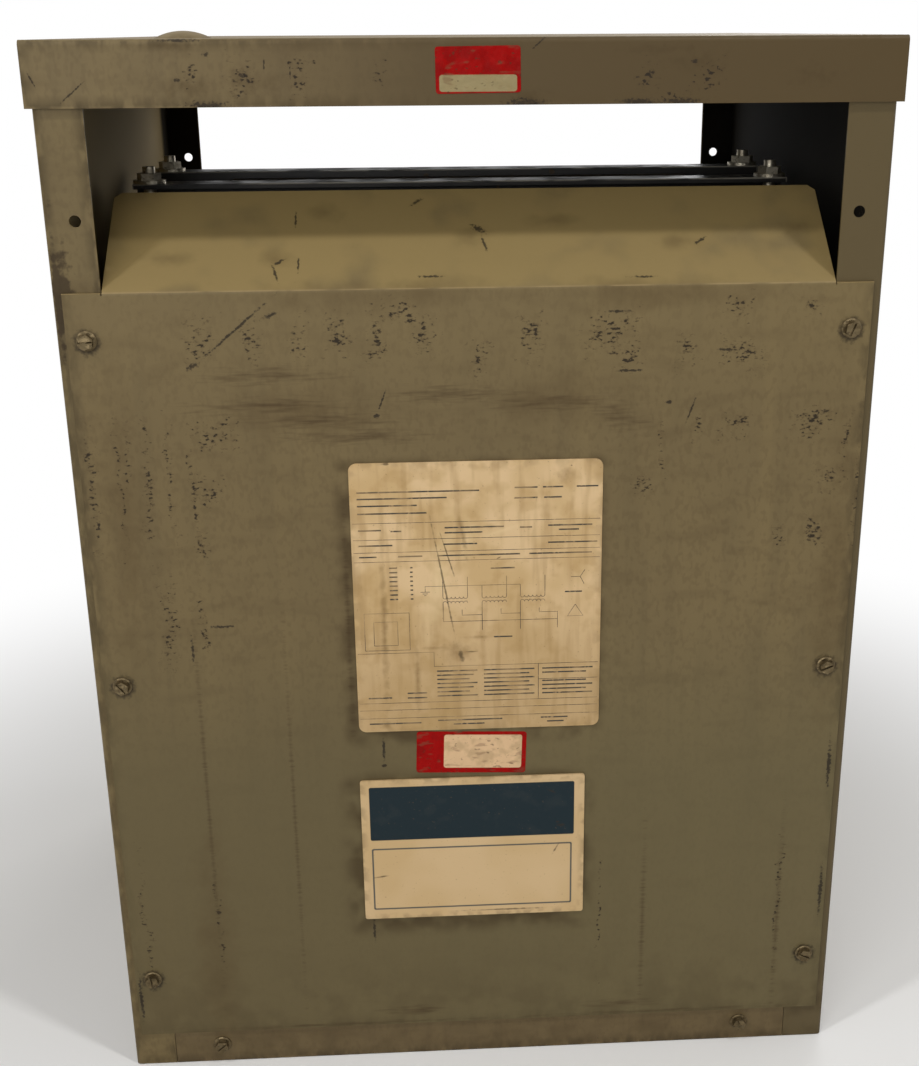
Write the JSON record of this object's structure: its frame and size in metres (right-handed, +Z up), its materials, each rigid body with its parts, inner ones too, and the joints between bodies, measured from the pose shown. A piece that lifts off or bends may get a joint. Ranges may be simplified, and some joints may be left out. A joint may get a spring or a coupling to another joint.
{
  "type": "dry-type distribution transformer",
  "caption": "Floor-standing dry-type transformer: core and windings in a ventilated folded sheet-steel enclosure with slanted vent lips.",
  "frame": {"origin": "on the floor, under the middle of the body", "axes": "+Z up, +X to the right as seen from the front, +Y towards the rear; the front cover with the plates faces -Y"},
  "size_m": [0.6028, 0.5352, 0.821],
  "materials": {
    "enamel": "aged grey-khaki baked enamel, satin, dirty and scuffed",
    "zinc": "dull zinc plate, grimy",
    "printed_label": "aged cream film, satin, stained",
    "notice_plastic": "rigid off-white plastic with a blue-green band, satin",
    "core_steel": "varnished silicon-steel laminations",
    "varnish": "dark varnished insulation wrap, satin gloss",
    "glass_laminate": "glass-fibre laminate, varnished",
    "hardwood": "varnished hardwood",
    "black_paint": "black paint, semi-gloss, dusty",
    "rubber": "matt",
    "terminal_laminate": "red-brown glass-polyester sheet, matt",
    "aluminium": "tin-plated aluminium bar, satin"
  },
  "bodies": {
    "root": {"lid": "enamel", "lid_cap": "enamel", "side_left": "enamel", "side_right": "enamel", "cover_front": "enamel", "cover_rear": "enamel", "rail_front": "enamel", "rail_rear": "enamel", "channel_left": "enamel", "channel_right": "enamel", "screws_front": "zinc", "screws_rear": "zinc", "screws_lid": "zinc", "clamp_bolts": "zinc", "tie_rods": "zinc", "rating_plate": "printed_label", "notice_plate": "notice_plastic", "core": "core_steel", "inner_winding_left": "varnish", "inner_winding_middle": "varnish", "inner_winding_right": "varnish", "outer_winding_left": "varnish", "outer_winding_middle": "varnish", "outer_winding_right": "varnish", "duct_sticks": "glass_laminate", "coil_blocks": "hardwood", "clamp_top_front": "black_paint", "clamp_top_rear": "black_paint", "clamp_bottom_front": "black_paint", "clamp_bottom_rear": "black_paint", "stand_front_left": "black_paint", "stand_front_right": "black_paint", "stand_rear_left": "black_paint", "stand_rear_right": "black_paint", "isolators": "rubber", "terminal_board": "terminal_laminate", "load_terminals": "aluminium", "line_terminals": "aluminium"}
  },
  "joints": []
}
